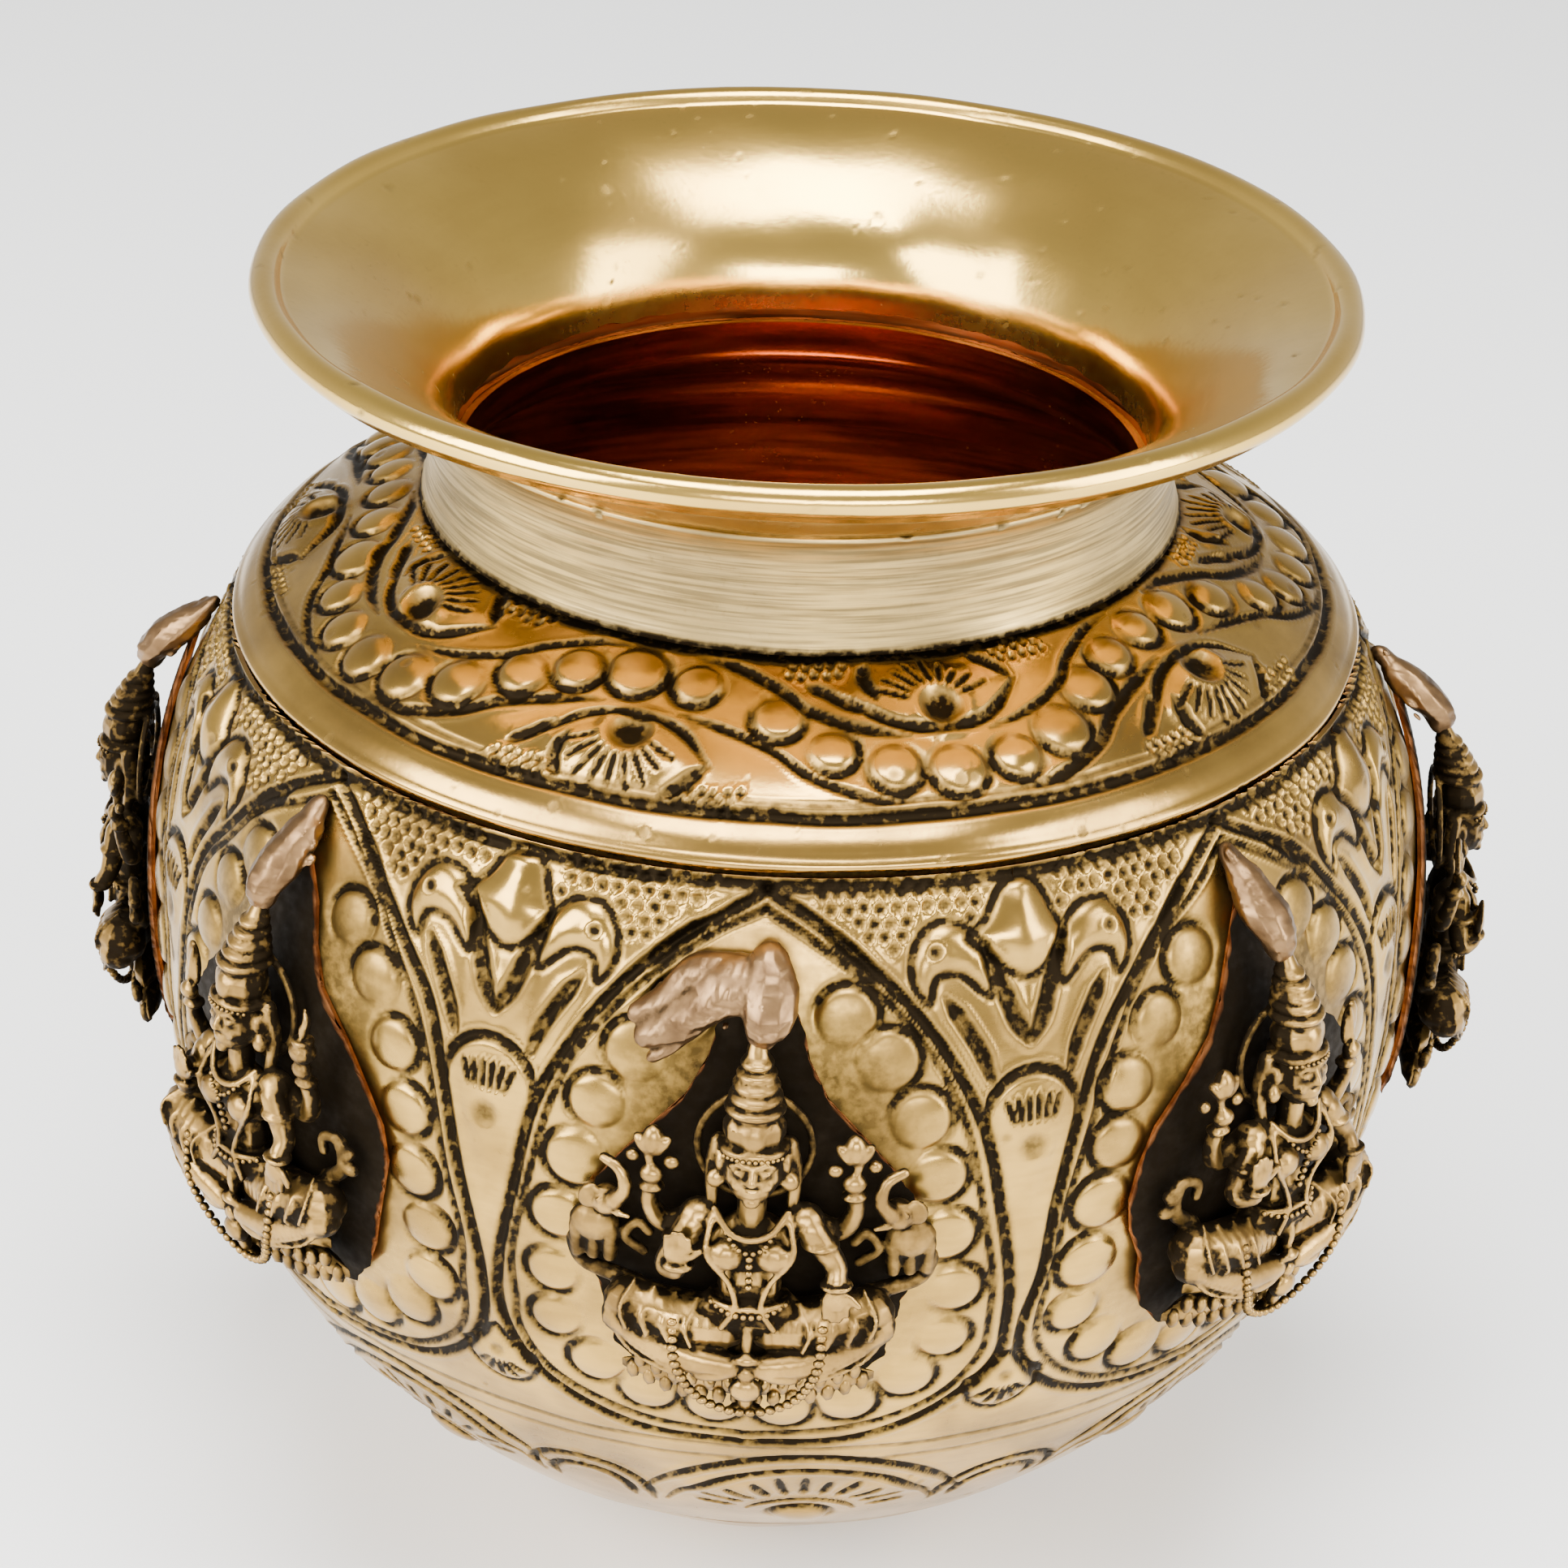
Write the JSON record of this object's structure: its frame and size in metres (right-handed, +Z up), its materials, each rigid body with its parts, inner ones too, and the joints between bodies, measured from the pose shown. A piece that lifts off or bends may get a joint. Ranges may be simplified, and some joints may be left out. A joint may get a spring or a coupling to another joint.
{
  "type": "kalash pot",
  "caption": "Round-bellied brass kalash pot with a chased shoulder, filed neck collar, flared mouth and seated figures soldered round the belly.",
  "frame": {"origin": "middle of the flat base, on the surface the pot stands on", "axes": "+Z up along the pot's axis; -Y points out of the front figure"},
  "size_m": [0.1088, 0.1088, 0.1],
  "materials": {
    "belly": "polished repousse brass with black patina in the chased lines",
    "shoulder": "polished repousse brass with black patina in the chased lines",
    "neck": "filed and scratched, pale",
    "mouth": "polished",
    "plate": "blackened",
    "figure": "cast, dark in the recesses",
    "solder": "satin, slightly pink"
  },
  "bodies": {
    "root": {"belly_shell": "belly", "shoulder_shell": "shoulder", "neck_collar": "neck", "mouth_flare": "mouth", "backing_plate_1": "plate", "backing_plate_2": "plate", "backing_plate_3": "plate", "backing_plate_4": "plate", "backing_plate_5": "plate", "backing_plate_6": "plate", "backing_plate_7": "plate", "backing_plate_8": "plate", "deity_figure_1": "figure", "deity_figure_2": "figure", "deity_figure_3": "figure", "deity_figure_4": "figure", "deity_figure_5": "figure", "deity_figure_6": "figure", "deity_figure_7": "figure", "deity_figure_8": "figure", "crown_solder_1": "solder", "crown_solder_2": "solder", "crown_solder_3": "solder", "crown_solder_4": "solder", "crown_solder_5": "solder", "crown_solder_6": "solder", "crown_solder_7": "solder", "crown_solder_8": "solder"}
  },
  "joints": []
}
